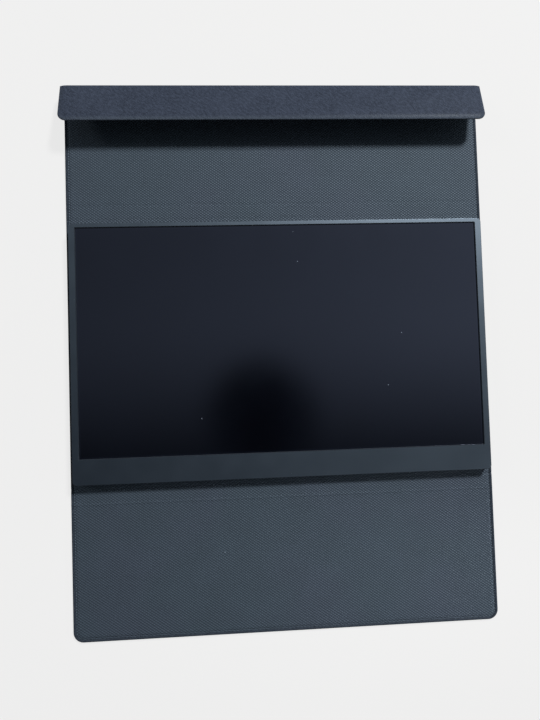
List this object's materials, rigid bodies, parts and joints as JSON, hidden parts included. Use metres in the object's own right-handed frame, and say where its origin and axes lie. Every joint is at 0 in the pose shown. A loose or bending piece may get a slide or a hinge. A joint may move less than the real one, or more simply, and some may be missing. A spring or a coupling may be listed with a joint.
{
  "type": "portable monitor",
  "caption": "Slim portable monitor held in a folding cover: two hinged door panels, soft spines and a magnetic closing flap, lying open on its back.",
  "frame": {"origin": "centre of the underside of the cover's back panel, which lies on the table", "axes": "+X to the right seen from in front of the screen, +Y across the creases towards the closing flap, +Z out of the screen"},
  "size_m": [0.3646, 0.4706, 0.0235],
  "materials": {
    "leather": "fine-grained imitation leather, dark slate, dull",
    "woven_lining": "lining embossed with a small diamond weave",
    "fibre_board": "grey-brown pressed board",
    "plate_steel": "plain steel sheet",
    "magnet_nickel": "nickel plate",
    "housing_plastic": "fine-textured black",
    "bezel_plastic": "satin black",
    "key_plastic": "smooth black",
    "screen_glass": "dark display, unlit, low gloss",
    "clear_acrylic": "clear light guide",
    "white_film": "white optical film",
    "tray_aluminium": "pressed sheet",
    "circuit_board": "green solder mask",
    "led_ribbon": "white ribbon with yellow lamps",
    "amber_film": "amber flexible film",
    "black_component": "black moulded",
    "connector_plastic": "ivory plastic",
    "socket_steel": "bright stamped steel",
    "white_ribbon": "white ribbon cable",
    "wire_cover": "red insulation",
    "speaker_plastic": "black moulded",
    "foam": "closed-cell foam",
    "screen_cloth": "fine black mesh",
    "screw_steel": "blackened steel"
  },
  "bodies": {
    "monitor": {"back_panel_board": "fibre_board", "back_panel_lining": "woven_lining", "back_panel_plates": "plate_steel", "back_panel_skin": "leather", "bezel_tape": "foam", "board_components": "black_component", "board_screws": "screw_steel", "button_board": "circuit_board", "button_ribbon": "white_ribbon", "cable_connectors": "connector_plastic", "diffuser_films": "white_film", "display_glass": "screen_glass", "driver_board": "circuit_board", "front_bezel": "bezel_plastic", "headphone_socket": "black_component", "holding_magnets": "magnet_nickel", "housing_screws": "screw_steel", "key_switches": "black_component", "led_strip": "led_ribbon", "left_speaker": "speaker_plastic", "light_guide": "clear_acrylic", "main_board": "circuit_board", "mini_hdmi_socket": "socket_steel", "panel_flexes": "amber_film", "panel_ribbon": "white_ribbon", "panel_tray": "tray_aluminium", "rear_housing": "housing_plastic", "reflector_sheet": "white_film", "right_speaker": "speaker_plastic", "rocker_pin": "screw_steel", "screening_can": "socket_steel", "socket_tongues": "black_component", "speaker_gaskets": "foam", "speaker_leads": "wire_cover", "speaker_screens": "screen_cloth", "usb_c_sockets": "socket_steel"},
    "lower_spine": {"lower_spine_skin": "leather", "lower_spine_board": "fibre_board", "lower_spine_lining": "woven_lining"},
    "lower_panel": {"lower_panel_skin": "leather", "lower_panel_board": "fibre_board", "lower_panel_lining": "woven_lining", "lower_panel_plates": "plate_steel"},
    "upper_spine": {"upper_spine_skin": "leather", "upper_spine_board": "fibre_board", "upper_spine_lining": "woven_lining"},
    "upper_panel": {"upper_panel_skin": "leather", "upper_panel_board": "fibre_board", "upper_panel_lining": "woven_lining"},
    "flap_strip": {"flap_strip_skin": "leather", "flap_strip_lining": "woven_lining"},
    "closing_flap": {"closing_flap_skin": "leather", "closing_flap_board": "fibre_board", "closing_flap_lining": "woven_lining", "flap_magnets": "magnet_nickel"},
    "power_button": {"power_button": "key_plastic"},
    "menu_rocker": {"menu_rocker": "key_plastic"}
  },
  "joints": [
    {"name": "lower_spine_fold", "type": "hinge", "parent": "monitor", "child": "lower_spine", "pos_m": [0, -0.11485, 0.0012], "axis": [-1, 0, 0], "range_deg": [-90, 90]},
    {"name": "lower_panel_fold", "type": "hinge", "parent": "lower_spine", "child": "lower_panel", "pos_m": [0, -0.12755, 0.0012], "axis": [-1, 0, 0], "range_deg": [-90, 90]},
    {"name": "upper_spine_fold", "type": "hinge", "parent": "monitor", "child": "upper_spine", "pos_m": [0, 0.11485, 0.0012], "axis": [1, 0, 0], "range_deg": [-90, 90]},
    {"name": "upper_panel_fold", "type": "hinge", "parent": "upper_spine", "child": "upper_panel", "pos_m": [0, 0.12755, 0.0012], "axis": [1, 0, 0], "range_deg": [-90, 90]},
    {"name": "flap_strip_fold", "type": "hinge", "parent": "upper_panel", "child": "flap_strip", "pos_m": [0, 0.22775, 0.0012], "axis": [-1, 0, 0], "range_deg": [-20, 110]},
    {"name": "flap_fold", "type": "hinge", "parent": "flap_strip", "child": "closing_flap", "pos_m": [0, 0.22775, 0.0122], "axis": [-1, 0, 0], "range_deg": [-8, 90]},
    {"name": "power_button_press", "type": "slide", "parent": "monitor", "child": "power_button", "axis": [1, 0, 0], "range_m": [0, 0.00028], "stiffness_N_per_m": 1200, "springref_m": -0.0008},
    {"name": "menu_rocker_tilt", "type": "hinge", "parent": "monitor", "child": "menu_rocker", "pos_m": [-0.1763, -0.042, 0.006], "axis": [0, 0, 1], "range_deg": [-2.2, 2.2], "stiffness_Nm_per_rad": 0.15}
  ]
}
